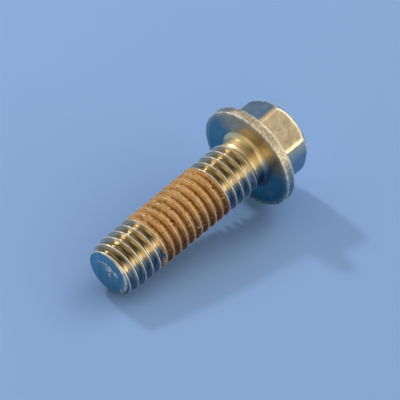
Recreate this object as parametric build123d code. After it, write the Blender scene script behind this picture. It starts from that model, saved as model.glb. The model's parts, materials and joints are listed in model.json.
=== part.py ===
from build123d import *
from math import asin, atan2, cos, degrees, hypot, radians, sin, tan
import os

# M6 x 1 x 20 hexagon flange bolt with a band of dried thread-locking compound, in millimetres.
# Each piece is drawn upright in the bolt's own frame: Z runs from the bearing face (z = 0)
# to the tip, and X is the side that faces up when the bolt lies down.
# lying_frame() then lays it on its flange rim and its thread, with the head towards +X.

# ---- driving dimensions ----
THREAD_DIAMETER = 6.0
PITCH = 1.0
SHANK_LENGTH = 20.0
NECK_DIAMETER = 5.4
HEAD_HEIGHT = 5.2
ACROSS_FLATS = 7.6
FLANGE_DIAMETER = 11.2
RIM_THICKNESS = 1.05
FLANGE_SLOPE = 24.0
CONE_EMBED = 1.0

# ---- head details ----
HEX_CORNER_ROUND = 0.9
HEX_TURN = -8.5
CROWN_FLAT_RADIUS = 3.2
CROWN_REACH = 4.5
CROWN_DROP = 1.3
CROWN_ROUND = 2.2
BEARING_EDGE_ROUND = 0.3
BACK_EDGE_ROUND = 0.25
NECK_FILLET = 0.35

# ---- thread details ----
FIRST_CREST = 0.873
CREST_FLAT = PITCH / 8
VALLEY_FLOOR_HALF = 0.031
VALLEY_CURVE_HALF = 0.062
VALLEY_CURVE_RISE = 0.012
FLANK_FOOT_RISE = 0.072
THREAD_HALF_ANGLE = 30.0
THREAD_DEPTH = 0.6134 * PITCH
RIDGE_EMBED = 0.1
CREST_CLEARANCE = 0.15
RUN_OUT_START = 1.3
RUN_OUT_END = 2.7
TIP_RADIUS = 2.3
POINT_RADIUS = 2.62
POINT_START = 17.9
POINT_END = 19.5

# ---- thread-locking band ----
BAND_TURNS = 9
BAND_START = 5.77
BAND_START_TURN = 143.0
BAND_EDGE_DEPTH = 0.07
BAND_DISH = 0.2
BAND_SLOPE_DEPTH = 0.15
BAND_SLOPE_HALF = 0.2
BAND_FOOT_HALF = 0.125

thread_radius = THREAD_DIAMETER / 2
neck_radius = NECK_DIAMETER / 2
root_radius = thread_radius - THREAD_DEPTH
flange_radius = FLANGE_DIAMETER / 2


def turned(outline, radii=None):
    """A body of revolution from a half section, whose inner corners may each have a radius."""
    path = FilletPolyline(*outline, radius=radii) if radii else Polyline(*outline)
    closing = Line(path @ 1, path @ 0)
    section = make_face([path, closing])
    return revolve(Plane.XZ * section, Axis.Z)


def flange_and_core():
    """The flange, the neck and the core that the thread stands on."""
    cone_radius = ACROSS_FLATS / 2 - CONE_EMBED
    cone_top = -RIM_THICKNESS - (flange_radius - cone_radius) * tan(radians(FLANGE_SLOPE))
    core_end = SHANK_LENGTH - (root_radius - TIP_RADIUS)
    outline = [
        (0, cone_top),
        (cone_radius, cone_top),
        (flange_radius, -RIM_THICKNESS),
        (flange_radius, 0),
        (neck_radius, 0),
        (neck_radius, RUN_OUT_START),
        (root_radius, RUN_OUT_END),
        (root_radius, core_end),
        (TIP_RADIUS, SHANK_LENGTH),
        (0, SHANK_LENGTH),
    ]
    radii = [0, BACK_EDGE_ROUND, BEARING_EDGE_ROUND, NECK_FILLET, 0, 0, 0, 0]
    return turned(outline, radii)


def hex_head():
    """The hexagon, with rounded corners and a crowned top."""
    apothem = ACROSS_FLATS / 2
    corner_radius = apothem / cos(radians(30))
    hexagon = fillet(RegularPolygon(corner_radius, 6).vertices(), HEX_CORNER_ROUND)
    prism = extrude(Rot(0, 0, HEX_TURN) * hexagon, amount=-HEAD_HEIGHT)
    crown_arc = RadiusArc(
        (CROWN_FLAT_RADIUS, -HEAD_HEIGHT),
        (CROWN_REACH, CROWN_DROP - HEAD_HEIGHT),
        -CROWN_ROUND,
    )
    sides = Polyline(
        crown_arc @ 1,
        (CROWN_REACH, 0),
        (0, 0),
        (0, -HEAD_HEIGHT),
        crown_arc @ 0,
    )
    crown = revolve(Plane.XZ * make_face([crown_arc, sides]), Axis.Z)
    return prism & crown


def helical_strip(section, start, turns):
    """A closed section (radius, height) carried along a right-hand helix."""
    path = Helix(PITCH, turns * PITCH, root_radius)
    corners = [Vector(radius, 0, height) for radius, height in section]
    face = Face(Wire.make_polygon(corners, close=True))
    return Pos(0, 0, start) * sweep(face, path=path, is_frenet=True)


def ridge_half_width(radius):
    """Half the thickness of the thread's ridge at this radius, on its straight flank."""
    return CREST_FLAT / 2 + (thread_radius - radius) * tan(radians(THREAD_HALF_ANGLE))


def on_line(first, second, radius):
    """The point of this radius on the line through two (radius, height) points."""
    slope = (second[1] - first[1]) / (second[0] - first[0])
    return (radius, first[1] + slope * (radius - first[0]))


def full_height_zone():
    """Outside this body no thread stands: it opens at the run-out and narrows towards the tip."""
    run_out_foot = (neck_radius - RIDGE_EMBED, RUN_OUT_START)
    run_out_top = (thread_radius, RUN_OUT_END)
    point_start = (thread_radius, POINT_START)
    point_end = (POINT_RADIUS, POINT_END)
    clear_radius = thread_radius + CREST_CLEARANCE
    beyond_tip = on_line(point_start, point_end, root_radius)
    return turned(
        [
            (0, RUN_OUT_START),
            run_out_foot,
            on_line(run_out_foot, run_out_top, clear_radius),
            on_line(point_start, point_end, clear_radius),
            beyond_tip,
            (0, beyond_tip[1]),
        ]
    )


def tip_cone():
    """The chamfer at the very tip, as a wide body that ends in the tip's flat."""
    wide_radius = thread_radius + 2 * CREST_CLEARANCE
    shoulder = on_line((POINT_RADIUS, POINT_END), (TIP_RADIUS, SHANK_LENGTH), wide_radius)
    return turned(
        [
            (0, 0),
            (wide_radius, 0),
            shoulder,
            (TIP_RADIUS, SHANK_LENGTH),
            (0, SHANK_LENGTH),
        ]
    )


def thread_ridge():
    """The thread, as a ridge that fades out into the neck and into the tip's chamfer."""
    valley_middle = PITCH / 2
    flank_foot = root_radius + FLANK_FOOT_RISE
    half_section = [
        (root_radius - RIDGE_EMBED, valley_middle - VALLEY_FLOOR_HALF),
        (root_radius + VALLEY_CURVE_RISE, valley_middle - VALLEY_CURVE_HALF),
        (flank_foot, ridge_half_width(flank_foot)),
        (thread_radius, CREST_FLAT / 2),
    ]
    mirrored = [(radius, -height) for radius, height in reversed(half_section)]
    ridge = helical_strip(half_section + mirrored, FIRST_CREST, SHANK_LENGTH)
    return ridge & full_height_zone() & tip_cone()


def make_bolt():
    """Head, flange and threaded shank: one forged and rolled piece."""
    return flange_and_core() + hex_head() + thread_ridge()


def make_lock_patch(bolt):
    """The dried compound: it fills the thread's valley for several turns, a little below the crests."""
    edge_radius = thread_radius - BAND_EDGE_DEPTH
    edge_half = (PITCH - CREST_FLAT) / 2
    half_section = [
        (edge_radius - BAND_SLOPE_DEPTH, BAND_SLOPE_HALF),
        (edge_radius, edge_half),
        (root_radius - RIDGE_EMBED, BAND_FOOT_HALF),
    ]
    mirrored = [(radius, -height) for radius, height in reversed(half_section)]
    section = [(edge_radius - BAND_DISH, 0)] + half_section + mirrored
    strip = helical_strip(section, BAND_START, BAND_TURNS)
    return Rot(0, 0, BAND_START_TURN) * strip - bolt


def rest_tilt():
    """The angle, in radians, at which the flange rim and the last full crest touch one plane."""
    rim_radius = flange_radius - BEARING_EDGE_ROUND
    rise = rim_radius - thread_radius
    run = POINT_START + BEARING_EDGE_ROUND
    return atan2(rise, run) + asin(BEARING_EDGE_ROUND / hypot(rise, run))


def lying_frame():
    """The plane that turns the bolt's own frame to where it lies, tip low and towards -X."""
    tilt = rest_tilt()
    up = (-sin(tilt), 0, cos(tilt))
    towards_tip = (-cos(tilt), 0, -sin(tilt))
    return Plane(origin=(0, 0, 0), x_dir=up, z_dir=towards_tip)


def centred_on_ground(shape):
    """The move that puts the middle of the shape's underside at the origin."""
    box = shape.bounding_box(optimal=True)
    return Pos(-box.center().X, -box.center().Y, -box.min.Z)


upright_bolt = make_bolt()
upright_patch = make_lock_patch(upright_bolt)
turn = lying_frame().location
move = centred_on_ground(turn * upright_bolt)

os.makedirs("parts", exist_ok=True)
export_step(move * turn * upright_bolt, "parts/bolt.step")
export_step(move * turn * upright_patch, "parts/lock_patch.step")

print("tilt", round(degrees(rest_tilt()), 3), "degrees")
print("bearing face centre", (move * turn).position)
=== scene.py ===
# %% [markdown]
# # A flange bolt with thread-locking compound
#
# This lesson dresses a small steel bolt: a crowned hexagon head with a round flange, a rolled
# thread, a sheared tip, and a band of dried orange compound in the thread. The CAD model gives the
# sizes and the place, and the pieces made here add what a hand lens would show: rounded thread
# roots, softened edges, plating that shifts in colour, and compound with pits and bubbles in it.

# %% Load the frame
import json

import bmesh
import bpy
import numpy as np
from mathutils import Matrix, Vector


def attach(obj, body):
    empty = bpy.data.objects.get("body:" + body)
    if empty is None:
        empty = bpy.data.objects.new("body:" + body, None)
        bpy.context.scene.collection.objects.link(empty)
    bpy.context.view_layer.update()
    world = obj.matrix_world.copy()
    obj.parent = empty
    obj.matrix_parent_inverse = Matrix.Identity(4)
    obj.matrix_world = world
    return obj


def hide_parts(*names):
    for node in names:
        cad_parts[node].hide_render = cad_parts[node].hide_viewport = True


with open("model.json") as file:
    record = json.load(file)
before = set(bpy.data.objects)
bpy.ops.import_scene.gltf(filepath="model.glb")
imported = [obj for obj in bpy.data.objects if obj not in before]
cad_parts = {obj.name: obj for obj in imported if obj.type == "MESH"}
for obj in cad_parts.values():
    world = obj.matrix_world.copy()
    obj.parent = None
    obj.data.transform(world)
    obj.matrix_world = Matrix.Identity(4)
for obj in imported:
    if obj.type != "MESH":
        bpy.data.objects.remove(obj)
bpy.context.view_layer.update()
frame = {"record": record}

# %% [markdown]
# ## The bolt's own frame
#
# The bolt lies on its flange rim and its thread, so its axis isn't level. Every shape is easier to
# think of upright, in millimetres: x is the side that faces up, y is across, and z runs from the
# flange's flat underside to the tip. The record's mount on the thread gives the middle of that
# underside and the direction of the tip. The pieces could be built upright and turned afterwards,
# but a finished piece has to sit unturned at the origin, so `placed` carries the points themselves
# to where the bolt lies.

# %% From upright millimetres to where the bolt lies
MM = 0.001
thread_mount = next(mount for mount in frame["record"]["mounts"] if mount["name"] == "thread")
seat_centre = np.array(thread_mount["pos_m"])
to_tip = np.array(thread_mount["axis"]) / np.linalg.norm(thread_mount["axis"])
across = np.cross(to_tip, [0.0, 0.0, 1.0])
across = across / np.linalg.norm(across) * (-1 if across[1] < 0 else 1)
up_side = np.cross(across, to_tip)
upright_axes = np.array([up_side, across, to_tip])


def placed(points):
    """Upright millimetres to metres: the seat's centre plus x, y and z along the bolt's axes."""
    return seat_centre + MM * np.asarray(points) @ upright_axes


print("seat centre", seat_centre, "towards the tip", to_tip.round(4), "up side", up_side.round(4))

# %% [markdown]
# ## The bolt's sizes
#
# A 6 mm coarse thread has a pitch of 1 mm: each turn moves the crest along by that much. The
# remaining sizes are those of a small hexagon flange bolt. Every shape below is worked out from
# them, so changing one changes all that depends on it.

# %% Sizes in millimetres
PITCH = 1.0
CREST_RADIUS = 3.0
ROOT_RADIUS = 2.42
SHANK_LENGTH = 20.0
NECK_RADIUS = 2.7
NECK_FILLET = 0.5
FIRST_CREST = 0.873
RUN_OUT_START, RUN_OUT_END = 1.2, 2.3
POINT_START = 17.9
LAST_CREST_RADIUS, LAST_ROOT_RADIUS = 2.69, 2.34
TIP_RADIUS = 2.5
FLANGE_RADIUS = 5.6
RIM_THICKNESS = 1.05
FLANGE_SLOPE = np.radians(24.0)
HEAD_HEIGHT = 5.2
APOTHEM = 3.8
HEX_CORNER_ROUND = 0.9
HEX_TURN = np.radians(-8.5)
print("head", HEAD_HEIGHT, "mm high,", 2 * APOTHEM, "mm across flats")

# %% [markdown]
# ## Random lumps that are the same on every run
#
# Rolled, forged and dried surfaces are never perfect. A Displace modifier with a texture could
# roughen them, but the shapes below need the numbers themselves. `lumps` gives a smooth random
# number for any point, worked out from a seeded lattice of random values: the eight values around
# a point are blended with a curve that is flat at both ends. The same seed gives the same lumps.

# %% Smooth random lumps
LATTICE = 24


def lumps(points, size, seed):
    """Smooth noise from -1 to 1: nearby lattice values, blended by 3t squared minus 2t cubed."""
    values = np.random.default_rng(seed).uniform(-1, 1, (LATTICE, LATTICE, LATTICE))
    scaled = np.asarray(points) / size
    corner = np.floor(scaled).astype(int)
    part = scaled - corner
    part = part * part * (3 - 2 * part)
    total = np.zeros(scaled.shape[:-1])
    for step in np.ndindex(2, 2, 2):
        i, j, k = np.moveaxis((corner + step) % LATTICE, -1, 0)
        x, y, z = np.moveaxis(np.abs(1 - np.array(step) - part), -1, 0)
        total += x * y * z * values[i, j, k]
    return total


def round_bump(distance, size):
    """A bell curve: one at the middle, falling as e to the minus distance over size, squared."""
    return np.exp(-(distance / size) ** 2)


def rise(value, start, width):
    """Zero up to a start, then a straight rise to one over a width."""
    return np.clip((value - start) / width, 0, 1)


print("lumps at two points:", lumps(np.array([[0, 0, 0.5], [1, 2, 3.2]]), 1.0, 5).round(3))

# %% [markdown]
# ## From a grid of points to a mesh
#
# Each piece is one grid: rows along the bolt, columns around it. Where rows come together, at a
# pole or where the thread's rows run into a plain ring, their points coincide, and merging them
# closes the surface there. The last column lies on the first in the same way, shifted by one turn
# where the grid is a thread. One function does this for all pieces and counts the edges left open.

# %% Grid to mesh
MERGE_DISTANCE = 2e-7


def mesh_from_grid(name, upright_points, attributes):
    """One quad between each four neighbours of a (row, column, xyz) grid, doubles merged."""
    rows, columns = upright_points.shape[:2]
    index = np.arange(rows * columns).reshape(rows, columns)
    quads = np.stack([index[:-1, :-1], index[:-1, 1:], index[1:, 1:], index[1:, :-1]], axis=-1)
    mesh = bpy.data.meshes.new(name)
    mesh.from_pydata(placed(upright_points).reshape(-1, 3), [], quads.reshape(-1, 4))
    for attribute_name, values in attributes.items():
        layer = mesh.attributes.new(attribute_name, "FLOAT", "POINT")
        layer.data.foreach_set("value", np.ascontiguousarray(values, dtype=np.float32).ravel())
    shell = bmesh.new()
    shell.from_mesh(mesh)
    bmesh.ops.remove_doubles(shell, verts=shell.verts, dist=MERGE_DISTANCE)
    bmesh.ops.dissolve_degenerate(shell, edges=shell.edges, dist=MERGE_DISTANCE)
    open_edges = sum(edge.is_boundary for edge in shell.edges)
    volume = shell.calc_volume(signed=True) / MM ** 3
    shell.to_mesh(mesh)
    shell.free()
    mesh.shade_smooth()
    piece = bpy.data.objects.new(name, mesh)
    bpy.context.scene.collection.objects.link(piece)
    triangles = sum(len(face.vertices) - 2 for face in mesh.polygons)
    print(f"{name}: {triangles} triangles, {open_edges} open edges, volume {volume:.1f} cubic mm")
    return piece


def round_axis(radii, angles, heights):
    """Points at a distance from the axis, an angle round it and a height along it."""
    x = radii * np.cos(angles)
    y = radii * np.sin(angles)
    return np.stack(np.broadcast_arrays(x, y, heights), axis=-1)


# %% [markdown]
# ## The rolled thread
#
# A rolled thread is pressed between two dies, so its flanks are smooth, its roots are rounded and
# its crests are narrow flats with soft edges. Across one pitch the depth below the crest is a
# flat, a straight flank close to the standard thirty degrees, and a round root. A Screw modifier
# could carry that profile up a helix, but it can't fade the thread out at its ends, so a formula
# does it: at each angle the crest sits a little higher, by one pitch per turn.

# %% The depth of the thread across one pitch
FLANK_SLOPE = 1.9
CREST_HALF = 0.05
CREST_SOFTNESS = 0.06
FULL_DEPTH = CREST_RADIUS - ROOT_RADIUS
SHARP_DEPTH = (PITCH / 2 - CREST_HALF) * FLANK_SLOPE
FLANK_SECANT = np.hypot(1, FLANK_SLOPE)
ROOT_ROUND = (SHARP_DEPTH - FULL_DEPTH) / (FLANK_SECANT - 1)
ROOT_HALF = ROOT_ROUND * FLANK_SLOPE / FLANK_SECANT


def softer_of(first, second, softness):
    """The smaller of two values, with their corner rounded off over about the softness."""
    gap = np.clip(0.5 + 0.5 * (second - first) / softness, 0, 1)
    return second * (1 - gap) + first * gap - softness * gap * (1 - gap)


def thread_depth(step):
    """Depth below the crest, for a distance from it in pitches: flat, flank, then round root."""
    distance = np.abs((np.asarray(step) + 0.5) % 1.0 - 0.5) * PITCH
    flank = -softer_of(-(distance - CREST_HALF) * FLANK_SLOPE, 0.0, CREST_SOFTNESS)
    from_valley = 0.5 * PITCH - distance
    root = FULL_DEPTH - ROOT_ROUND + np.sqrt(np.maximum(ROOT_ROUND ** 2 - from_valley ** 2, 0))
    return np.where(from_valley < ROOT_HALF, root, np.minimum(flank, FULL_DEPTH))


print("depth at crest, flank and root:", thread_depth([0.0, 0.25, 0.5]).round(3))

# %% [markdown]
# ## Where the thread fades in and ends
#
# Next to the head the dies run out, and the ridge sinks into the neck, a little swollen by the
# metal that was pushed aside. At the tip the bar was a little thinner, so the last crests are
# lower, and the end face cuts straight through the last turn. All of this is done by moving the
# two limits between which the profile swings, the radii of crest and root at each height.

# %% The shank's radius at any angle and height
RUN_OUT_SWELL, RUN_OUT_SWELL_SIZE = 0.09, 0.3


def ridge_share(angle, height):
    """How far up the ridge a place is: one on the crest, zero in the root."""
    step = (height - FIRST_CREST) / PITCH - angle / (2 * np.pi)
    return 1 - thread_depth(step) / FULL_DEPTH


def ridge_limits(height):
    """The radius of the root and of the crest at a height, each with its own tapers."""
    tapers = [RUN_OUT_START, RUN_OUT_END, POINT_START, SHANK_LENGTH]
    root = np.interp(height, tapers, [NECK_RADIUS, ROOT_RADIUS, ROOT_RADIUS, LAST_ROOT_RADIUS])
    crest = np.interp(height, tapers, [NECK_RADIUS, CREST_RADIUS, CREST_RADIUS, LAST_CREST_RADIUS])
    from_run_out = height - (RUN_OUT_START + RUN_OUT_END) / 2
    return root, crest + RUN_OUT_SWELL * round_bump(from_run_out, RUN_OUT_SWELL_SIZE)


def shank_radius(angle, height):
    """The root's radius plus the place's share of the ridge there."""
    root, crest = ridge_limits(height)
    return root + (crest - root) * ridge_share(angle, height)


print("shank radius half way along:", shank_radius(0.0, SHANK_LENGTH / 2).round(3))

# %% [markdown]
# ## Rows of the neck and of the thread
#
# The neck flares into the flange with a small fillet. Neck, thread and tip could be separate
# bodies joined by a Boolean, but that leaves ragged faces where the ridge sinks into the neck, so
# they are rows of one grid. The thread's rows follow the crest, so its edges stay crisp. They
# start and end on plain rings: a row is simply held at the ring's height until the helix has
# lifted it past it.

# %% Neck and thread
COLUMNS = 180
HIDDEN_POLE_HEIGHT = -0.4
THREAD_FOOT = 1.15
RIM_CHAMFER = 0.15
THREAD_END = SHANK_LENGTH - RIM_CHAMFER
crest_steps = np.array([0, 0.02, 0.04, 0.06, 0.09, 0.14, 0.2, 0.26, 0.3, 0.34, 0.38, 0.42, 0.46])
pitch_steps = np.concatenate([crest_steps, [0.5], 1 - crest_steps[:0:-1]])
around = np.linspace(0, 2 * np.pi, COLUMNS + 1)


def neck_rows():
    """From a hidden pole inside the flange out, over the neck's fillet, to the thread's foot."""
    turn = np.linspace(0, np.pi / 2, 9)
    straight = np.linspace(NECK_FILLET, THREAD_FOOT, 8)[1:-1]
    radii = np.concatenate([[0, NECK_RADIUS + NECK_FILLET],
                            NECK_RADIUS + NECK_FILLET * (1 - np.sin(turn)),
                            0 * straight + NECK_RADIUS])
    heights = np.concatenate([[HIDDEN_POLE_HEIGHT] * 2, NECK_FILLET * (1 - np.cos(turn)), straight])
    return round_axis(radii[:, None], around, heights[:, None])


def thread_rows():
    """Rows that follow the crest, one pitch higher per turn, held between foot and tip."""
    turns = np.arange(-2, SHANK_LENGTH / PITCH)
    steps = (turns[:, None] + pitch_steps).ravel()
    heights = FIRST_CREST + PITCH * (steps[:, None] + around / (2 * np.pi))
    heights = np.clip(heights, THREAD_FOOT, THREAD_END)
    return round_axis(shank_radius(around, heights), around, heights)


def rim_rows():
    """A quarter round between the last row of the thread and the sheared face."""
    turn = np.radians([22.5, 45.0, 67.5])[:, None]
    radii = shank_radius(around, THREAD_END) - RIM_CHAMFER * (1 - np.cos(turn))
    return round_axis(radii, around, SHANK_LENGTH - RIM_CHAMFER * (1 - np.sin(turn)))


print(len(pitch_steps), "rows per pitch,", COLUMNS, "columns")

# %% [markdown]
# ## The sheared face
#
# At the tip the bar was sheared off, which leaves a shallow dish, a torn crease across it, a few
# crumbs of metal, and a rough lip on one side of the rim. Sculpting never gives the same twice.
# Here the crease is a line through a few points that wanders a little, and the crumbs are random
# lumps that are let through only near it.

# %% The tear, its crumbs and the relief
TEAR_X = [0.47, 0.68, 1.08, 1.19, 1.14, 1.10, 0.79]
TEAR_Y = [-1.20, -0.80, -0.50, -0.17, 0.18, 0.52, 1.19]
TEAR_STEP, TEAR_DEPTH, TEAR_SIZE = 0.04, 0.07, 0.11
CRUMB_HEIGHT = 0.07
FACE_DISH = 0.05


def face_points(x, y):
    """Places on the face as points at height zero, to look up lumps at."""
    return np.stack([x, y, 0 * x], axis=-1)


def from_tear(x, y):
    """Distance across the wandering line of the tear, and a fade towards its two ends."""
    wander = 0.04 * lumps(face_points(x, y), 0.22, 12)
    fade = rise(y, TEAR_Y[0], 0.3) * np.clip((TEAR_Y[-1] + 0.1 - y) / 0.35, 0, 1)
    return x - np.interp(y, TEAR_Y, TEAR_X) + wander, fade


def crumb_marks(x, y):
    """Where torn metal lies bare: ridges beside the tear, two heaps of crumbs, faint streaks."""
    aside, fade = from_tear(x, y)
    spots = lumps(face_points(x, y), 0.13, 13)
    near_ridge = round_bump(aside - 0.2, 0.1) * fade * np.clip(0.9 + 1.2 * spots, 0, 1)
    far_ridge = 0.5 * round_bump(aside + 0.17, 0.06) * fade * np.clip(0.3 + 1.6 * spots, 0, 1)
    middle_heap = round_bump(np.hypot(x - 0.62, y + 0.15), 0.46)
    end_heap = round_bump(np.hypot(x - 0.52, y + 1.15), 0.3)
    streaks = round_bump(np.hypot((x + 0.1) / 2.6, y + 0.3 + 0.25 * x), 0.2) * 0.7
    loose = (middle_heap + end_heap + streaks) * np.clip(0.4 + 2.4 * spots, 0, 1)
    return np.clip(near_ridge + far_ridge + loose, 0, 1)


def tear_marks(x, y):
    """The line of the tear itself; the material paints shade along it."""
    aside, fade = from_tear(x, y)
    return np.clip(1.3 * round_bump(aside, TEAR_SIZE), 0, 1) * fade


def sheared_relief(x, y):
    """Height of the face: a shallow dish, a step and a groove at the tear, crumbs and waves."""
    aside, fade = from_tear(x, y)
    points = face_points(x, y)
    dish = -FACE_DISH * (1 - (x ** 2 + y ** 2) / TIP_RADIUS ** 2)
    step = TEAR_STEP * np.tanh(aside / 0.1) * fade
    waves = 0.014 * lumps(points, 0.8, 14) + 0.006 * lumps(points, 0.3, 15)
    return dish + step - TEAR_DEPTH * tear_marks(x, y) + CRUMB_HEIGHT * crumb_marks(x, y) + waves


print("deepest place of the tear:", sheared_relief(*np.array([TEAR_X, TEAR_Y])).min().round(3))

# %% Rows of the face
FACE_ROWS = 38
LIP_ANGLE, LIP_HEIGHT = np.radians(-110.0), 0.1


def tip_rows():
    """From the chamfer in to a pole, with the relief and the lip, and what marks the crumbs."""
    edge = shank_radius(around, THREAD_END) - RIM_CHAMFER
    radii = edge * (1 - np.linspace(0, 1, FACE_ROWS) ** 0.85)[:, None]
    x, y = radii * np.cos(around), radii * np.sin(around)
    from_edge = edge - radii
    from_lip = np.abs((around - LIP_ANGLE + np.pi) % (2 * np.pi) - np.pi)
    ragged = np.clip(0.5 + 2.0 * lumps(face_points(x, y), 0.12, 21), 0, 1)
    lip = round_bump(from_lip, 0.6) * round_bump(from_edge - 0.05, 0.12) * ragged
    heights = SHANK_LENGTH + sheared_relief(x, y) * rise(from_edge, 0, 0.12) + LIP_HEIGHT * lip
    heights[-1] = heights[-1].mean()
    crumbs = np.maximum(crumb_marks(x, y), lip) * rise(from_edge, 0, 0.03)
    return np.stack([x, y, heights], axis=-1), crumbs, tear_marks(x, y)


tip_grid, tip_crumbs, tip_tear = tip_rows()
print(FACE_ROWS, "rows, lip up to", tip_grid[..., 2].max().round(3), "mm")

# %% [markdown]
# ## The shank as one surface
#
# The rows are put together, and the metal gets the slight dents of handling. Where the finish is
# worn or torn depends on the shape, so the mesh carries those places along as attributes. The
# material could find edges by itself, but only in one renderer.

# %% Build the shank
shank_grid = np.concatenate([neck_rows(), thread_rows(), rim_rows(), tip_grid])
shank_heights = shank_grid[..., 2]
shank_radii = np.hypot(shank_grid[..., 0], shank_grid[..., 1])


def only_tip(marks):
    """Marks on the face, with zeros for all rows before it."""
    return np.pad(marks, ((len(shank_grid) - len(tip_grid), 0), (0, 0)))


on_tip = only_tip(np.ones(tip_crumbs.shape))
root_radii, crest_radii = ridge_limits(shank_heights)
on_crest = rise(ridge_share(around, shank_heights), 0.9, 0.08)
on_crest = on_crest * rise(crest_radii - root_radii, 0, 0.2)
on_rim = np.clip((shank_heights - SHANK_LENGTH + 1.3 * RIM_CHAMFER) / (0.3 * RIM_CHAMFER), 0, 1)
on_crest = np.maximum(on_crest, on_rim) * (1 - on_tip)
dents = 0.006 * lumps(shank_grid, 1.1, 31) + 0.006 * lumps(shank_grid, 0.3, 32) - 0.012
dents = dents * rise(shank_heights, THREAD_FOOT, 0.5) * (1 - on_tip)
shank_grid[..., :2] *= (1 + dents / np.maximum(shank_radii, 0.5))[..., None]
shank = mesh_from_grid("threaded_shank", shank_grid, {
    "crest": on_crest, "sheared": on_tip,
    "crumbs": only_tip(tip_crumbs), "tear": only_tip(tip_tear)})

# %% [markdown]
# ## The head and flange as one surface
#
# The head was forged in one blow: the flange spreads out under the hexagon, and the top is crowned
# so that the corners of the hexagon fall away. A cylinder with Booleans and a Bevel modifier could
# give it too, but here a row of the grid follows each edge, so every edge gets its own softness.

# %% Outlines of the hexagon, the crown and the flange
HEAD_COLUMNS = 360
CROWN_FLAT_RADIUS, CROWN_ROUND = 3.2, 2.2
CROWN_CENTRE_RADIUS, CROWN_CENTRE_HEIGHT = 2.437, -3.137
head_around = np.linspace(0, 2 * np.pi, HEAD_COLUMNS + 1)


def hexagon_radius(angle):
    """Distance from axis to side: the flat's over the cosine of the angle, or a corner's circle."""
    from_flat = (angle - HEX_TURN) % (np.pi / 3) - np.pi / 6
    corner_distance = (APOTHEM - HEX_CORNER_ROUND) / np.cos(np.pi / 6)
    from_corner = np.pi / 6 - np.abs(from_flat)
    reach = HEX_CORNER_ROUND ** 2 - (corner_distance * np.sin(from_corner)) ** 2
    corner = corner_distance * np.cos(from_corner) + np.sqrt(np.maximum(reach, 0))
    tangent = np.arctan(corner_distance * np.sin(np.pi / 6) / APOTHEM)
    return np.where(np.abs(from_flat) < tangent, APOTHEM / np.cos(from_flat), corner)


def crown_height(radius):
    """The crowned top: a circle's arc, lower towards the corners."""
    drop = np.sqrt(np.maximum(CROWN_ROUND ** 2 - (radius - CROWN_CENTRE_RADIUS) ** 2, 0.2))
    return CROWN_CENTRE_HEIGHT - drop


def cone_height(radius):
    """The flange's sloping back, which meets the rim at its outside."""
    return -RIM_THICKNESS - (FLANGE_RADIUS - radius) * np.tan(FLANGE_SLOPE)


side = hexagon_radius(head_around)
print("hexagon from", side.min().round(3), "to", side.max().round(3), "mm from the axis")

# %% Rows through the head's corners
SOFT_ROWS = 7
TOP_DISH = 0.04


def direction(start, end):
    """One millimetre from a row of points towards another."""
    return (end - start) / np.linalg.norm(end - start, axis=-1, keepdims=True)


def rounded_path(corners, counts):
    """Rows through (radius, height, softness) corners: straight runs, parabolas where soft."""
    flat_ring = np.zeros((HEAD_COLUMNS + 1, 2))
    stops = [np.stack(np.broadcast_arrays(radius, height), axis=-1) + flat_ring
             for radius, height, _ in corners]
    softness = [corner[2] for corner in corners]
    rows = []
    for index, here in enumerate(stops):
        before, after = stops[max(index - 1, 0)], stops[min(index + 1, len(stops) - 1)]
        if softness[index]:
            start = here + softness[index] * direction(here, before)
            end = here + softness[index] * direction(here, after)
            for share in np.linspace(0, 1, SOFT_ROWS):
                left = 1 - share
                rows.append(left ** 2 * start + 2 * share * left * here + share ** 2 * end)
        else:
            rows.append(here)
        if index < len(stops) - 1:
            first, last = rows[-1], after + softness[index + 1] * direction(after, here)
            for share in np.linspace(0, 1, counts[index] + 2)[1:-1]:
                rows.append(first + share * (last - first))
    return np.array(rows)


crown_radii = [CROWN_FLAT_RADIUS + share * (side - CROWN_FLAT_RADIUS)
               for share in np.linspace(0, 0.5, 4)[1:]]
head_corners = [
    (0 * side, TOP_DISH - HEAD_HEIGHT, 0),
    (CROWN_FLAT_RADIUS, -HEAD_HEIGHT, 0.08),
    *((radius, crown_height(radius), 0) for radius in crown_radii),
    (side, crown_height(side), 0.27),
    (side, cone_height(side), 0.18),
    (FLANGE_RADIUS, -RIM_THICKNESS, 0.17),
    (FLANGE_RADIUS, 0, 0.17),
    (0 * side, 0 * side, 0),
]
head_path = rounded_path(head_corners, [12, 0, 0, 0, 0, 16, 8, 5, 10])
print(len(head_path), "rows through", len(head_corners), "corners")

# %% Roughen the forging and mark its edges, worn and painted bright
RIM_ROUGH_START = 4.9
head_radii, head_heights = head_path[..., 0], head_path[..., 1]
head_grid = round_axis(head_radii, head_around, head_heights)
ripple = 0.012 * lumps(head_grid, 1.6, 41) + 0.01 * lumps(head_grid, 0.6, 42)
rim_rough = (0.01 * lumps(head_grid, 0.2, 43) - 0.014) * rise(head_radii, RIM_ROUGH_START, 0.5)
outside = np.clip((-head_heights - 0.02) / 0.15, 0, 1)
swollen = 1 + (ripple + rim_rough) * outside / np.maximum(head_radii, 1.5)
head_grid[..., :2] *= swollen[..., None]
worn_and_lit_edges = ((FLANGE_RADIUS, 0, 0.17), (FLANGE_RADIUS, -RIM_THICKNESS, 0.14),
              (side, crown_height(side), 0.16))
on_edge = np.zeros_like(head_radii)
for edge_radius, edge_height, edge_size in worn_and_lit_edges:
    from_edge = np.hypot(head_radii - edge_radius, head_heights - edge_height)
    on_edge = np.maximum(on_edge, round_bump(from_edge, edge_size))
head = mesh_from_grid("flanged_head", head_grid, {"edge": on_edge})

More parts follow.
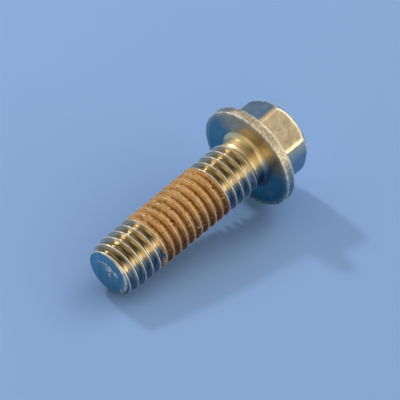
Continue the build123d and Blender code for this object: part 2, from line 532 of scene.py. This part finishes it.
# %% [markdown]
# ## The dried compound
#
# The compound was brushed on wet and dried in the thread for nine turns. On the upper far side it
# pooled, and nearly fills the valleys. Elsewhere it shrank back into them, and it has small lumps,
# burst bubbles, cracks beside the crests and a few grains on top. A displaced copy of the shank
# would blur its edge, so it is one long strip along the helix. Its underside runs just inside the
# metal, so the edge that shows is where the top meets the flank, as uneven as the real one.

# %% The strip along the helix
BAND_TURNS = 9
BAND_START = 5.77
BAND_START_ANGLE = np.radians(143.0)
FACING_ANGLE = -37.0
SEGMENTS_PER_TURN = 300
TOP_REACH = 0.498  # a hair under half a pitch, so that two turns never share an edge
travel = np.linspace(0, BAND_TURNS, BAND_TURNS * SEGMENTS_PER_TURN + 1)
top_steps = TOP_REACH * np.sin(np.linspace(-np.pi / 2, np.pi / 2, 19))
under_steps = np.array([0.4, 0.2, 0.0, -0.2, -0.4])
strip_steps = np.concatenate([top_steps, under_steps, top_steps[:1]])
strip_angle = BAND_START_ANGLE + 2 * np.pi * travel[None, :] + 0 * strip_steps[:, None]
strip_height = BAND_START + PITCH * (travel[None, :] + strip_steps[:, None])
metal_radius = shank_radius(strip_angle, strip_height)
from_valley = np.abs(strip_steps[:, None]) + 0 * strip_angle
facing_turn = (np.degrees(strip_angle) - FACING_ANGLE + 180) % 360 - 180
print("band from", BAND_START, "to", BAND_START + PITCH * BAND_TURNS, "mm")

# %% [markdown]
# ## Lumps, pits, grains and cracks
#
# A few bubbles and grains are listed by height, by degrees round from the side that faces the
# camera, and by size. Random ones fill the places between. Each kind is a mask from zero to one,
# and the material uses the same masks for its colours.

# %% Masks of the compound
PIT_SPOTS = [(7.75, -33, 0.13), (7.75, -20, 0.12), (12.5, -35, 0.15), (13.6, -25, 0.15),
             (13.62, -17, 0.16), (13.6, -10, 0.13), (9.7, -12, 0.1), (10.6, 4, 0.09),
             (14.6, -5, 0.12), (11.7, -20, 0.1)]
GRAIN_SPOTS = [(8.6, 0, 0.16), (9.6, -5, 0.17), (11.6, 0, 0.15), (9.05, 7, 0.1),
               (12.1, -12, 0.1), (10.9, -28, 0.1)]
flat_points = round_axis(CREST_RADIUS, strip_angle, strip_height)
swell = (0.03 * lumps(flat_points, 0.9, 51) + 0.045 * lumps(flat_points, 0.34, 52)
         + 0.045 * lumps(flat_points, 0.15, 53)) * (1 - from_valley)


def marked(spots):
    """One at the middle of each (height, degrees, size) spot, falling to zero around it."""
    marks = []
    for height, turn, size in spots:
        gap = (strip_angle - np.radians(FACING_ANGLE - turn) + np.pi) % (2 * np.pi) - np.pi
        marks.append(round_bump(np.hypot(gap * CREST_RADIUS, strip_height - height), size))
    return np.max(marks, axis=0)


random_pits = 0.8 * rise(lumps(flat_points, 0.24, 54), 0.52, 0.2)
random_grains = 0.7 * rise(lumps(flat_points, 0.2, 55), 0.55, 0.2)
pit_mask = np.maximum(marked(PIT_SPOTS), random_pits)
grain_mask = np.maximum(marked(GRAIN_SPOTS), random_grains)
broken = np.clip(0.55 + 1.6 * lumps(flat_points, 0.4, 56), 0, 1)
crack_mask = round_bump(from_valley - 0.43, 0.045) * broken
print("pitted share of the band:", (pit_mask > 0.5).mean().round(3))

# %% Build the compound
EDGE_DEPTH = 0.035
DISH_FULL, DISH_OPEN = 0.12, 0.3
PIT_DEPTH, CRACK_DEPTH, GRAIN_HEIGHT = 0.15, 0.09, 0.08
END_DEPTH, THINNEST_DEPTH, UNDER_DEPTH = 0.04, 0.05, 0.06
from_pool = np.abs(facing_turn - 70)
pooled = round_bump(np.minimum(from_pool, 360 - from_pool), 50)
dish_depth = DISH_OPEN + (DISH_FULL - DISH_OPEN) * pooled
dish = dish_depth * round_bump(from_valley, 0.24) * np.clip((0.5 - from_valley) / 0.05, 0, 1)
over_crest = 0.025 * round_bump(facing_turn - 60, 35)
end_fade = np.clip(np.minimum(travel, BAND_TURNS - travel) / 0.08, 0, 1)[None, :]
top_radius = CREST_RADIUS - EDGE_DEPTH - dish + over_crest + swell
top_radius = top_radius - PIT_DEPTH * pit_mask - CRACK_DEPTH * crack_mask
top_radius = top_radius + GRAIN_HEIGHT * grain_mask
top_radius = metal_radius - END_DEPTH + (top_radius - metal_radius + END_DEPTH) * end_fade
top_radius = np.maximum(top_radius, metal_radius - THINNEST_DEPTH)
row = np.arange(len(strip_steps))
is_top = (row < len(top_steps)) | (row == row[-1])
strip_radius = np.where(is_top[:, None], top_radius, metal_radius - UNDER_DEPTH)
strip_grid = round_axis(strip_radius, strip_angle, strip_height)
first_cap, last_cap = (end.mean(axis=0, keepdims=True) + 0 * end
                       for end in (strip_grid[:, :1], strip_grid[:, -1:]))
strip_grid = np.concatenate([first_cap, strip_grid, last_cap], axis=1)
# This mask paints shade at the bottom of the valleys, more where they lie open.
valley_shade_mask = round_bump(strip_steps[:, None] + 0.03, 0.19) * dish_depth / DISH_OPEN
strip_marks = {"pit": np.maximum(pit_mask, crack_mask), "grain": grain_mask,
               "swell": 0.5 + swell / 0.12, "valley": valley_shade_mask}
compound = mesh_from_grid("thread_compound", strip_grid, {
    name: np.pad(values, ((0, 0), (1, 1)), mode="edge") for name, values in strip_marks.items()})

# %% [markdown]
# ## Small tools for materials
#
# A material is a tree of nodes. It could be built by hand in the Shader Editor, but code keeps
# every number in sight. `node` adds one node to a tree and sets it up, and `join` finds the tree
# by itself, so each step of a material reads as one line. `effect` starts a node group: a small
# tree with named inputs and outputs that several materials can share.

# %% Node helpers
FLOAT, VECTOR, COLOUR = "NodeSocketFloat", "NodeSocketVector", "NodeSocketColor"


def node(tree, kind, inputs=None, **options):
    """Adds a node, sets its options, and fills each named input with a value or a link."""
    made = tree.nodes.new(kind)
    for option, value in options.items():
        setattr(made, option, value)
    for socket, value in (inputs or {}).items():
        if isinstance(value, bpy.types.NodeSocket):
            tree.links.new(value, made.inputs[socket])
        else:
            made.inputs[socket].default_value = value
    return made


def effect(name, inputs, outputs):
    """Starts a node group with named inputs (type, value) and outputs, and its two end nodes."""
    tree = bpy.data.node_groups.new(name, "ShaderNodeTree")
    for label, (kind, value) in inputs.items():
        socket = tree.interface.new_socket(label, in_out="INPUT", socket_type=kind)
        if value is not None:
            socket.default_value = value
    for label, kind in outputs.items():
        tree.interface.new_socket(label, in_out="OUTPUT", socket_type=kind)
    return tree, tree.nodes.new("NodeGroupInput"), tree.nodes.new("NodeGroupOutput")


def use(tree, group, inputs=None):
    """Places a node group in a tree with its own values, and gives its outputs."""
    return node(tree, "ShaderNodeGroup", inputs, node_tree=group).outputs


def join(kind, inputs, **options):
    """Adds a node to the tree that its first linked input comes from."""
    sockets = [value for value in inputs.values() if isinstance(value, bpy.types.NodeSocket)]
    return node(sockets[0].id_data, kind, inputs, **options)


def ramp(value, low, high, out_low=0.0, out_high=1.0):
    """A straight rise from one value to another between two limits, held beyond them."""
    return join("ShaderNodeMapRange", {"Value": value, "From Min": low, "From Max": high,
                                       "To Min": out_low, "To Max": out_high}).outputs[0]


def blend(amount, first, second, mode="MIX"):
    """Mixes two colours by an amount."""
    first, second = (value if isinstance(value, bpy.types.NodeSocket) else (*value, 1.0)
                     for value in (first, second))
    return join("ShaderNodeMix", {0: amount, 6: first, 7: second}, data_type="RGBA",
                blend_type=mode, clamp_factor=True).outputs[2]


def layered(colour, *layers):
    """Lays (mask, colour) layers over a colour, one after another."""
    for mask, layer in layers:
        colour = blend(mask, colour, layer)
    return colour


# %% Arithmetic on masks


def math(operation, first, second):
    """One arithmetic step on numbers or sockets."""
    return join("ShaderNodeMath", {0: first, 1: second}, operation=operation).outputs[0]


def times(first, second):
    """The product of two masks."""
    return math("MULTIPLY", first, second)


def plus(first, second):
    """The sum of two values."""
    return math("ADD", first, second)


def either(first, second):
    """The stronger of two masks."""
    return math("MAXIMUM", first, second)


def rest_of(mask):
    """What a mask leaves free: one minus the mask."""
    return math("SUBTRACT", 1.0, mask)


def attribute(tree, name):
    """The value that the mesh carries under a name."""
    return node(tree, "ShaderNodeAttribute", attribute_name=name).outputs["Fac"]


# %% [markdown]
# ## Shared effects
#
# Five effects serve the finishes here. The first turns object coordinates into upright
# millimetres, so that a pattern can follow the bolt's axis. Then come soft smudges such as fingers
# and dipping leave, thin scratches from parts tumbling in a box, fine grain for bumps and speckle,
# and a mask of the side that faces down. Painted images would need a seam somewhere round the bolt.

# %% Upright place and soft smudges
to_upright = Matrix(upright_axes.tolist())
place_effect, _, ends = effect("upright millimetres", {},
                               {"Place": VECTOR, "Radius": FLOAT, "Height": FLOAT})
place = join("ShaderNodeMapping", {
    "Vector": node(place_effect, "ShaderNodeTexCoord").outputs["Object"],
    "Location": to_upright @ Vector((-seat_centre / MM).tolist()),
    "Rotation": to_upright.to_euler(), "Scale": (1 / MM,) * 3}).outputs[0]
x, y, height = join("ShaderNodeSeparateXYZ", {0: place}).outputs
flat_place = join("ShaderNodeCombineXYZ", {0: x, 1: y}).outputs[0]
from_axis = join("ShaderNodeVectorMath", {0: flat_place}, operation="LENGTH")
place_effect.links.new(place, ends.inputs["Place"])
place_effect.links.new(from_axis.outputs["Value"], ends.inputs["Radius"])
place_effect.links.new(height, ends.inputs["Height"])


def shrunk(place, size):
    """A place divided by a size, so that a pattern one unit wide comes out at that size."""
    return join("ShaderNodeVectorMath", {0: place, 1: size}, operation="DIVIDE").outputs[0]


smudges, starts, ends = effect(
    "soft smudges", {"Place": (VECTOR, None), "Size": (FLOAT, 1.0), "Low": (FLOAT, 0.4),
                     "High": (FLOAT, 0.6)}, {"Amount": FLOAT})
place, size, low, high = list(starts.outputs)[:4]
cloud = join("ShaderNodeTexNoise", {"Vector": shrunk(place, size), "Scale": 1.0, "Detail": 4.0,
                                    "Roughness": 0.55, "Distortion": 0.6})
smudges.links.new(ramp(cloud.outputs[0], low, high), ends.inputs[0])


def smudged(place, size, low, high):
    """Soft smudges of a size in millimetres: none below the low limit, full above the high."""
    inputs = {"Place": place, "Size": size, "Low": low, "High": high}
    return use(place.id_data, smudges, inputs)[0]


# %% Thin scratches
SCRATCH_SETS = (((0.5, 0.3, 0.2), (1.0, 0.16, 1.0)), ((1.4, 0.9, 2.1), (0.18, 1.0, 1.0)))
SCRATCH_WIDTH = 0.035
scratches, starts, ends = effect(
    "thin scratches", {"Place": (VECTOR, None), "Spacing": (FLOAT, 0.8)}, {"Amount": FLOAT})
place, spacing = list(starts.outputs)[:2]
scratch_sets = []
for turn, stretch in SCRATCH_SETS:
    turned = join("ShaderNodeMapping", {"Vector": place, "Rotation": turn, "Scale": stretch})
    cells = join("ShaderNodeTexVoronoi", {"Vector": shrunk(turned.outputs[0], spacing),
                                          "Scale": 1.0}, feature="DISTANCE_TO_EDGE")
    scratch_sets.append(ramp(cells.outputs["Distance"], 0.0, SCRATCH_WIDTH, 1.0, 0.0))
thinned = join("ShaderNodeTexNoise", {"Vector": place, "Scale": 0.9, "Detail": 2.0})
thinned = ramp(thinned.outputs[0], 0.5, 0.62)
scratches.links.new(times(either(*scratch_sets), thinned), ends.inputs[0])


def scratched(place, spacing):
    """Thin crossing scratches, about a spacing in millimetres apart."""
    return use(place.id_data, scratches, {"Place": place, "Spacing": spacing})[0]


# %% Fine grain and the lower side
grain, starts, ends = effect("fine grain", {"Place": (VECTOR, None), "Size": (FLOAT, 0.1)},
                             {"Height": FLOAT})
place, size = list(starts.outputs)[:2]
speckle = join("ShaderNodeTexNoise", {"Vector": shrunk(place, size), "Scale": 1.0,
                                      "Detail": 3.0, "Roughness": 0.6})
grain.links.new(speckle.outputs[0], ends.inputs[0])
lower_side, starts, ends = effect("lower side", {"From": (FLOAT, 0.5), "To": (FLOAT, -0.1)},
                                  {"Amount": FLOAT})
place, radius, _ = use(lower_side, place_effect)
upness = math("DIVIDE", join("ShaderNodeSeparateXYZ", {0: place}).outputs[0], radius)
start, end = list(starts.outputs)[:2]
lower_side.links.new(ramp(upness, start, end), ends.inputs[0])


def grained(place, size):
    """Fine grain of a size in millimetres, around one half."""
    return use(place.id_data, grain, {"Place": place, "Size": size})[0]


def facing_down(tree, start, end):
    """One on the lower side: it rises while x over the radius falls from start to end."""
    return use(tree, lower_side, {"From": start, "To": end})[0]


print("shared effects:", [group.name for group in bpy.data.node_groups])

# %% [markdown]
# ## Yellow zinc plating
#
# The steel is dipped in zinc and then in a chromate bath. That leaves a glossy film whose colour
# depends on its thickness: pale champagne, olive gold and a little rose run into each other. One
# gold colour would look like paint, so three smudges of different sizes mix the film's colours.
# It is metal, so the colour goes in Base Color and Metallic is one.

# %% Colours of the plating
CHAMPAGNE = (0.80, 0.67, 0.46)
GOLD = (0.73, 0.59, 0.35)
OLIVE = (0.50, 0.43, 0.24)
ROSE = (0.76, 0.54, 0.40)
RUBBED = (0.88, 0.82, 0.70)
plating, starts, ends = effect("plating colour", {"Place": (VECTOR, None)}, {"Colour": COLOUR})
place = starts.outputs[0]
elsewhere = join("ShaderNodeVectorMath", {0: place, 1: (31.0, 17.0, 5.0)}, operation="ADD")
wide = smudged(place, 2.6, 0.36, 0.64)
patchy = smudged(place, 0.9, 0.45, 0.7)
rosy = smudged(elsewhere.outputs[0], 1.4, 0.52, 0.75)
film = layered(GOLD, (wide, CHAMPAGNE), (times(patchy, 0.55), OLIVE), (times(rosy, 0.45), ROSE))
plating.links.new(film, ends.inputs[0])
print("the plating's colour takes", len(plating.nodes), "nodes")


def new_material(name, preview_colour, roughness, metallic):
    """A material with only its Principled shader, and the upright place, radius and height."""
    material = bpy.data.materials.new(name)
    material.use_nodes = True
    material.diffuse_color = (*preview_colour, 1.0)
    tree = material.node_tree
    tree.nodes.clear()
    shader = node(tree, "ShaderNodeBsdfPrincipled", {"Roughness": roughness, "Metallic": metallic})
    node(tree, "ShaderNodeOutputMaterial", {0: shader.outputs[0]})
    return material, tree, shader, list(use(tree, place_effect))


def finish(tree, shader, colour, roughness, fine, strength, distance):
    """Wires colour and roughness to the shader, and a fine bump of a distance in metres."""
    bump = join("ShaderNodeBump", {"Height": fine, "Strength": strength, "Distance": distance})
    tree.links.new(colour, shader.inputs["Base Color"])
    tree.links.new(roughness, shader.inputs["Roughness"])
    tree.links.new(bump.outputs[0], shader.inputs["Normal"])


# %% [markdown]
# ## The plating on the thread
#
# On the thread the crests are rubbed pale. Painted shade darkens the roots to olive on the upper
# side, and dims the plating, most on the upper side but not on the neck. On the lower side a
# painted blue reflection with painted shade turns it a deep blue green, and painted shade turns
# the neck and the roots there navy. The neck stays a bright gold. Layers of colour are each laid
# over the last through its own mask: film first, then painted shade and reflection, and wear
# on top.

# %% Film, painted shade, neck and crests of the shank
PAINTED_ROOT_SHADE = (0.28, 0.215, 0.105)
PAINTED_BLUE_SHADE = (0.09, 0.23, 0.36)
NECK_GOLD = (0.96, 0.80, 0.42)
PAINTED_NAVY_SHADE = (0.04, 0.10, 0.17)
PAINTED_SHADE_DIMMER = (0.70, 0.70, 0.68)
plated_thread, tree, shader, spot = new_material("plated_thread", GOLD, 0.24, 1.0)
place, radius, height = spot
shader.inputs["Coat Weight"].default_value = 0.7
shader.inputs["Coat Roughness"].default_value = 0.2
# Painted shade: the roots are darkened to olive on the upper side.
deep = times(ramp(radius, 2.45, 2.72, 0.85, 0.0), ramp(height, 1.6, 2.6))
upper_side = rest_of(facing_down(tree, 0.76, 0.58))
underside = facing_down(tree, 0.5, -0.1)
neck = ramp(height, 1.1, 2.1, 1.0, 0.0)
crest = times(attribute(tree, "crest"), ramp(grained(place, 0.5), 0.36, 0.56, 0.45))
colour = layered(use(tree, plating, {"Place": place})[0],
                 (times(deep, upper_side), PAINTED_ROOT_SHADE),
                 (times(scratched(place, 0.7), 0.35), RUBBED),
                 (times(neck, 0.8), NECK_GOLD))
# Painted shade: the plating is dimmed, fully on the upper side and less below, but not on the neck.
painted_dimming = times(rest_of(neck), ramp(upper_side, 0.0, 1.0, 0.4, 1.0))
# Painted shade and a painted blue reflection turn the lower side deep blue green, and painted shade
# turns the neck and the roots there navy.
colour = layered(blend(painted_dimming, colour, PAINTED_SHADE_DIMMER, "MULTIPLY"),
                 (times(underside, 0.85), PAINTED_BLUE_SHADE),
                 (times(either(neck, deep), underside), PAINTED_NAVY_SHADE),
                 (crest, RUBBED))

# %% [markdown]
# ## The tip's film and the smear of compound
#
# The tip was sheared before plating. A painted blue reflection turns its face blue green, with
# bare crumbs and a tear darkened by painted shade. Round the band of compound a thin ragged smear
# of it was left on the metal, worn off again on the crests. There the finish turns to orange or a
# dusty tan and loses its metal shine, and the tan is greyer on the lower side as painted shade.
# The masks for colour serve for Metallic and Roughness too, so that the three never disagree.

# %% Tip, smear and shine of the shank
COMPOUND_ORANGE = (0.75, 0.415, 0.13)
COMPOUND_BROWN = (0.27, 0.12, 0.03)
WORN_COMPOUND = (0.88, 0.66, 0.38)
SHADED_WORN_COMPOUND = (0.40, 0.33, 0.24)
PAINTED_BLUE_REFLECTION = (0.03, 0.26, 0.38)
PAINTED_PALE_REFLECTION = (0.13, 0.37, 0.45)
BARE_CRUMB = (0.95, 0.92, 0.80)
TEAR_SHADE = (0.02, 0.022, 0.025)
SMEAR_START, SMEAR_END, SMEAR_EDGE = 6.2, 14.7, 0.15
crumbs = attribute(tree, "crumbs")
# A painted blue reflection turns the sheared face blue green.
painted_tip_reflection = blend(smudged(place, 0.9, 0.3, 0.7), PAINTED_BLUE_REFLECTION, PAINTED_PALE_REFLECTION)
ragged = grained(place, 0.35)
ragged_height = plus(height, ramp(ragged, 0.25, 0.75, -0.35, 0.35))
smear = times(ramp(ragged_height, SMEAR_START, SMEAR_START + SMEAR_EDGE),
              ramp(ragged_height, SMEAR_END, SMEAR_END + SMEAR_EDGE, 1.0, 0.0))
dusty_crest = times(smear, crest)
# The worn compound on the crests turns greyer on the lower side as painted shade.
dust_and_shade = blend(times(underside, 0.8), WORN_COMPOUND, SHADED_WORN_COMPOUND)
smear = times(smear, rest_of(times(crest, ramp(ragged, 0.35, 0.55, 0.5, 1.0))))
smear_film = blend(smudged(place, 0.5, 0.4, 0.65), COMPOUND_ORANGE, COMPOUND_BROWN)
# Painted shade darkens the line of the tear.
colour = layered(colour, (attribute(tree, "sheared"), painted_tip_reflection), (crumbs, BARE_CRUMB),
                 (attribute(tree, "tear"), TEAR_SHADE), (dusty_crest, dust_and_shade), (smear, smear_film))
dull = either(times(crumbs, 0.9), times(crest, 0.25))
dull = either(dull, times(either(smear, dusty_crest), 0.9))
tree.links.new(rest_of(dull), shader.inputs["Metallic"])
rough_places = either(times(crest, 0.75), either(crumbs, smear))
roughness = ramp(smudged(place, 0.7, 0.35, 0.7), 0.0, 1.0, 0.17, 0.28)
roughness = plus(roughness, times(rough_places, 0.22))
roughness = plus(roughness, ramp(height, 1.4, 2.2, 0.20, 0.0))
finish(tree, shader, colour, roughness, grained(place, 0.12), 0.2, 0.00001)
print(plated_thread.name, "has", len(tree.nodes), "nodes")

# %% [markdown]
# ## The plating on the head
#
# The head's film is paler and mottled by handling. The rim of the flange was never machined, so it
# is grey and speckled with a coarser bump, and the edges are rubbed bright, with a painted
# highlight along them. A painted blue shade and reflection cover the lower side. The flat seat is a
# little duller and dimmed by painted shade, and a painted blue reflection covers its lower and far
# parts. The thread's effects serve here with other values, so that both pieces look like one bath.

# %% Material of the head
GREYED = (0.44, 0.37, 0.27)
RIM_GREY = (0.34, 0.29, 0.20)
PAINTED_SEAT_SHADE = (0.80, 0.78, 0.74)
WORN_EDGE_HIGHLIGHT = (0.97, 0.93, 0.84)
plated_head, tree, shader, spot = new_material("plated_head", GOLD, 0.28, 1.0)
place, radius, height = spot
underside = facing_down(tree, 0.3, -0.15)
sidewards = join("ShaderNodeSeparateXYZ", {0: place}).outputs[1]
far_side = ramp(math("DIVIDE", sidewards, radius), 0.4, 0.8)
on_seat = ramp(height, -0.25, -0.05)
rolled = times(ramp(radius, 5.3, 5.45), ramp(grained(place, 0.22), 0.46, 0.64, 0.9, 0.0))
# The edges are worn bright, and carry a painted highlight as well.
edge = times(attribute(tree, "edge"), ramp(grained(place, 0.45), 0.38, 0.58, 0.35))
# Painted shade dims the seat, and a painted blue reflection covers its lower and far parts.
painted_seat_reflection = times(on_seat, either(underside, far_side))
# A painted blue shade and reflection cover the lower side, as on the thread.
colour = layered(use(tree, plating, {"Place": place})[0],
                 (0.4, CHAMPAGNE),
                 (times(smudged(place, 0.6, 0.48, 0.66), 0.4), GREYED),
                 (rolled, RIM_GREY),
                 (times(underside, 0.85), PAINTED_BLUE_SHADE))
colour = layered(blend(on_seat, colour, PAINTED_SEAT_SHADE, "MULTIPLY"),
                 (times(painted_seat_reflection, 0.85), PAINTED_BLUE_REFLECTION),
                 (times(scratched(place, 1.1), 0.08), RUBBED),
                 (edge, WORN_EDGE_HIGHLIGHT))
tree.links.new(rest_of(times(edge, 0.6)), shader.inputs["Metallic"])
roughness = ramp(smudged(place, 0.9, 0.35, 0.65), 0.0, 1.0, 0.15, 0.27)
roughness = plus(roughness, times(ramp(radius, 5.2, 5.45), 0.12))
roughness = plus(roughness, ramp(height, -0.2, -0.05, 0.0, 0.16))
roughness = plus(roughness, times(edge, 0.12))
fine = times(grained(place, 0.17), ramp(radius, 5.2, 5.4, 0.35, 1.0))
finish(tree, shader, colour, roughness, fine, 0.6, 0.00005)
print(plated_head.name, "has", len(tree.nodes), "nodes")

# %% [markdown]
# ## The finish of the compound
#
# The compound dries to a matt orange tan, with browner, creamier and rosier smudges, and cream on
# its grains. Painted shade makes it browner where its lumps lie low, dark orange at the bottom of
# the valleys, dark brown on its lower side and almost black inside its burst bubbles and cracks,
# and a painted highlight makes the tops of its lumps creamier. It is no metal, so Metallic is zero
# and the finish is rough with a grainy bump. The places come from the mesh, which carries them as
# attributes.

# %% Material of the compound
COMPOUND_CREAM = (0.74, 0.53, 0.26)
COMPOUND_ROSE = (0.60, 0.33, 0.19)
VALLEY_SHADE = (0.23, 0.08, 0.004)
SHADED_BROWN = (0.085, 0.032, 0.01)
PIT_SHADE = (0.06, 0.022, 0.006)
dried_compound, tree, shader, spot = new_material("dried_compound", COMPOUND_ORANGE, 0.6, 0.0)
place = spot[0]
shader.inputs["Specular IOR Level"].default_value = 0.25
browner = times(smudged(place, 0.8, 0.42, 0.72), 0.4)
creamier = smudged(place, 0.3, 0.55, 0.75)
swollen = attribute(tree, "swell")
# Painted shade browns the compound where its lumps lie low, and a painted highlight creams their
# tops; the smudges mixed in are the compound's own colour.
browner_and_shaded = either(browner, ramp(swollen, 0.15, 0.5, 0.7, 0.0))
creamier_and_highlighted = either(times(creamier, 0.3), ramp(swollen, 0.65, 1.0, 0.0, 0.5))
streaks = ramp(grained(place, 0.3), 0.35, 0.55, 0.7, 1.0)
# Painted shade darkens the bottom of the valleys.
valley = times(ramp(attribute(tree, "valley"), 0.25, 0.7), streaks)
# Painted shade darkens the compound's lower side and the inside of its pits and cracks.
colour = layered(COMPOUND_ORANGE,
                 (browner_and_shaded, COMPOUND_BROWN),
                 (creamier_and_highlighted, COMPOUND_CREAM),
                 (times(smudged(place, 0.55, 0.5, 0.7), 0.45), COMPOUND_ROSE),
                 (valley, VALLEY_SHADE),
                 (times(facing_down(tree, 0.75, -0.05), 0.92), SHADED_BROWN),
                 (times(attribute(tree, "grain"), 0.8), COMPOUND_CREAM),
                 (ramp(attribute(tree, "pit"), 0.25, 0.8), PIT_SHADE))
roughness = ramp(creamier, 0.0, 1.0, 0.6, 0.45)
finish(tree, shader, colour, roughness, grained(place, 0.1), 0.9, 0.00009)
for piece, material in ((shank, plated_thread), (head, plated_head), (compound, dried_compound)):
    piece.data.materials.append(material)
    print(piece.name, "is finished with", material.name)

# %% [markdown]
# ## Floor and lamp
#
# The bolt lies on a plain pale blue floor, a single large face. One small softbox stands high
# behind it and draws the hot spots on the crests and the shadow on the floor. More lamps would
# give more shadows, so the rest of the light comes from all round, in the next step.

# %% Floor
FLOOR_COLOUR = (0.27, 0.47, 0.88)
FLOOR_HALF = 1.5
floor_corners = FLOOR_HALF * np.array([(-1, -1, 0), (1, -1, 0), (1, 1, 0), (-1, 1, 0)])
floor_mesh = bpy.data.meshes.new("floor")
floor_mesh.from_pydata(floor_corners, [], [(0, 1, 2, 3)])
floor = bpy.data.objects.new("floor", floor_mesh)
bpy.context.scene.collection.objects.link(floor)
floor_paint = bpy.data.materials.new("pale_floor")
floor_paint.use_nodes = True
floor_shader = floor_paint.node_tree.nodes["Principled BSDF"]
floor_shader.inputs["Base Color"].default_value = (*FLOOR_COLOUR, 1.0)
floor_shader.inputs["Roughness"].default_value = 0.7
floor_mesh.materials.append(floor_paint)
print("floor", 2 * FLOOR_HALF, "m wide")

# %% Softbox
SOFTBOX_DISTANCE = 0.4
softbox_direction = Vector((0.065, 0.74, 0.669)).normalized()
lamp = bpy.data.lights.new("key_softbox", "AREA")
lamp.shape = "RECTANGLE"
lamp.size = lamp.size_y = 0.04
lamp.energy = 0.4
lamp.color = (1.0, 0.98, 0.95)
softbox = bpy.data.objects.new("key_softbox", lamp)
softbox.location = softbox_direction * SOFTBOX_DISTANCE
softbox.rotation_euler = softbox_direction.to_track_quat("Z", "Y").to_euler()
bpy.context.scene.collection.objects.link(softbox)
print("softbox at", softbox.location[:])

# %% [markdown]
# ## The studio around the bolt
#
# Metal shows what surrounds it, so cards, walls and the gaps between them matter as much as the
# finish. A whole studio could be built of planes, but a few wide glows and one dark gap, painted
# by direction into the world, give the same soft light at no cost. Each glow has a bearing and a
# height in degrees, a size over which it is full, a size at which it has faded, and its colour.

# %% Sky
SKY_GLOWS = [
    ("pale ceiling", 90, 80, 8, 38, (0.82, 0.80, 0.76)),
    ("dark gap above the camera", 216, 48, 22, 43, (0.03, 0.028, 0.02)),
    ("blue wall behind", 45, 3, 16, 42, (0.06, 0.20, 0.55)),
    ("card at the back left", 122, 20, 10, 42, (0.58, 0.55, 0.48)),
    ("warm corner at the left", 162, 2, 8, 34, (0.80, 0.66, 0.44)),
    ("window at the front", 298, 10, 14, 39, (1.90, 1.82, 1.66)),
    ("lamp beyond the head", 352, 42, 8, 28, (2.40, 2.30, 2.10)),
    ("warm corner by the camera", 232, 8, 14, 34, (1.75, 1.42, 0.95)),
]
world = bpy.data.worlds.new("soft_studio")
bpy.context.scene.world = world
world.use_nodes = True
sky = world.node_tree
sky_direction = node(sky, "ShaderNodeTexCoord").outputs["Generated"]
sky_colour = (0.38, 0.36, 0.32)
for label, bearing, lift, full, faded, glow_colour in SKY_GLOWS:
    bearing, lift, full, faded = np.radians([bearing, lift, full, faded])
    middle = (np.cos(lift) * np.cos(bearing), np.cos(lift) * np.sin(bearing), np.sin(lift))
    nearness = join("ShaderNodeVectorMath", {0: sky_direction, 1: middle},
                    operation="DOT_PRODUCT", label=label).outputs["Value"]
    amount = ramp(nearness, np.cos(faded), np.cos(full))
    sky_colour = blend(amount, sky_colour, glow_colour)
sky.links.new(sky_colour, sky.nodes["Background"].inputs[0])
sky.nodes["Background"].inputs[1].default_value = 1.0
print("the studio has", len(SKY_GLOWS), "glows")

# %% [markdown]
# ## Camera
#
# The camera looks down at the tip from the front left, through a very long lens, which keeps the
# two ends of the bolt at nearly the same scale. It could track an empty object, but three plain
# axes built from a bearing and a lift are exact and easy to change.

# %% Camera
CAMERA_TURN, CAMERA_LIFT = np.radians(-46.5), np.radians(39.0)
CAMERA_DISTANCE = 0.4916
AIM_RIGHT, AIM_UP = 2.203, 1.573
back = Vector((np.sin(CAMERA_TURN) * np.cos(CAMERA_LIFT),
               -np.cos(CAMERA_TURN) * np.cos(CAMERA_LIFT), np.sin(CAMERA_LIFT)))
right = Vector((np.cos(CAMERA_TURN), np.sin(CAMERA_TURN), 0.0))
upward = back.cross(right)
mid_shank = Vector(placed([0.0, 0.0, SHANK_LENGTH / 2]).tolist())
target = mid_shank + MM * (AIM_RIGHT * right + AIM_UP * upward)
lens = bpy.data.cameras.new("camera")
lens.sensor_width, lens.lens = 36.0, 450.0
lens.clip_start, lens.clip_end = 0.01, 10.0
camera = bpy.data.objects.new("camera", lens)
camera.location = target + CAMERA_DISTANCE * back
camera.rotation_euler = Matrix((right, upward, back)).transposed().to_euler()
bpy.context.scene.collection.objects.link(camera)
bpy.context.scene.camera = camera
bpy.context.scene.view_settings.view_transform = "Standard"
print("camera at", camera.location[:], "looking at", target[:])

# %% [markdown]
# ## Put the pieces in place of the CAD's
#
# Both metal pieces take the place of the CAD's bolt, and the compound that of its own CAD node,
# which are hidden. They ride on the one body.

# %% Hand the pieces over
for piece, cad_node, slot in ((shank, "bolt", "plated_steel"), (head, "bolt", "plated_steel"),
                              (compound, "lock_patch", "lock_compound")):
    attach(piece, "root")
    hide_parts(cad_node)
